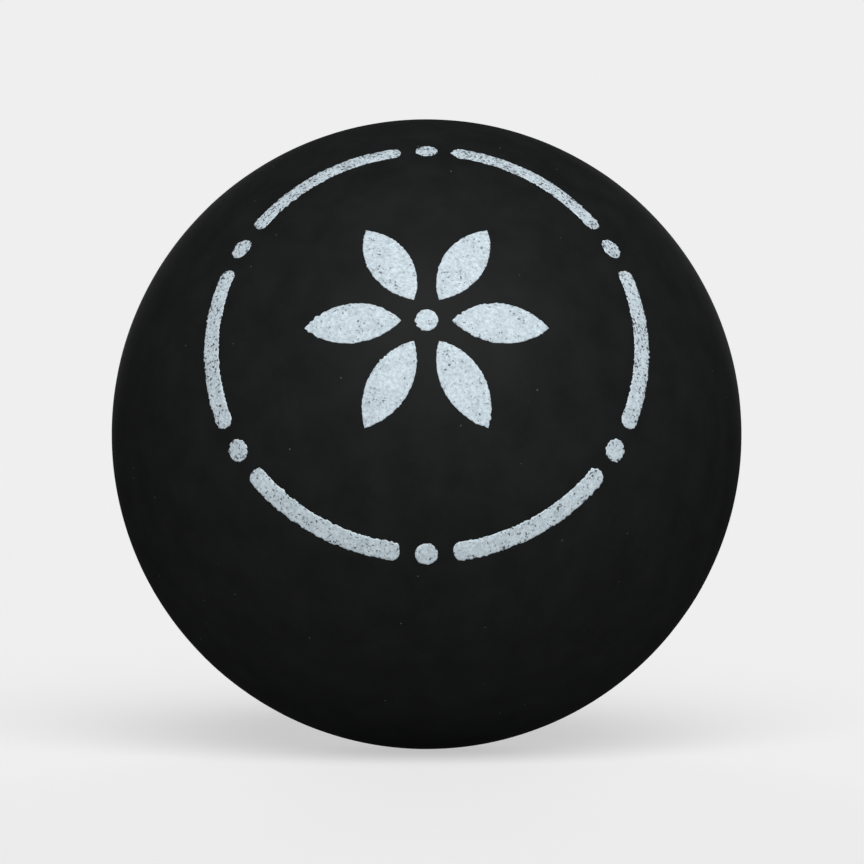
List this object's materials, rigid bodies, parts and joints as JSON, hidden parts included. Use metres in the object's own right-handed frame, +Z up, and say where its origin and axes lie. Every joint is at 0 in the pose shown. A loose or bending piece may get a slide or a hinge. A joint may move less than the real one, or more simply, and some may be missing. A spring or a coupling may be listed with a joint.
{
  "type": "squash ball",
  "caption": "Small hollow matte black rubber ball, moulded as half-shells bonded at a glued seam, with a white front print and coloured speed dots; it is struck against court walls.",
  "frame": {"origin": "centre of the ball", "axes": "+Z up as pictured, +Y along the axis of the bonded seam, away from the printed front; the white print faces -Y, tilted up"},
  "size_m": [0.04, 0.04, 0.04],
  "materials": {
    "shell_rubber": "matte",
    "seam_cement": "satin",
    "white_ink": "matte",
    "yellow_ink": "matte"
  },
  "bodies": {
    "root": {"front_half_shell": "shell_rubber", "rear_half_shell": "shell_rubber", "seam_adhesive": "seam_cement", "print_petals": "white_ink", "print_arcs": "white_ink", "print_dots": "white_ink", "speed_dots": "yellow_ink"}
  },
  "joints": []
}
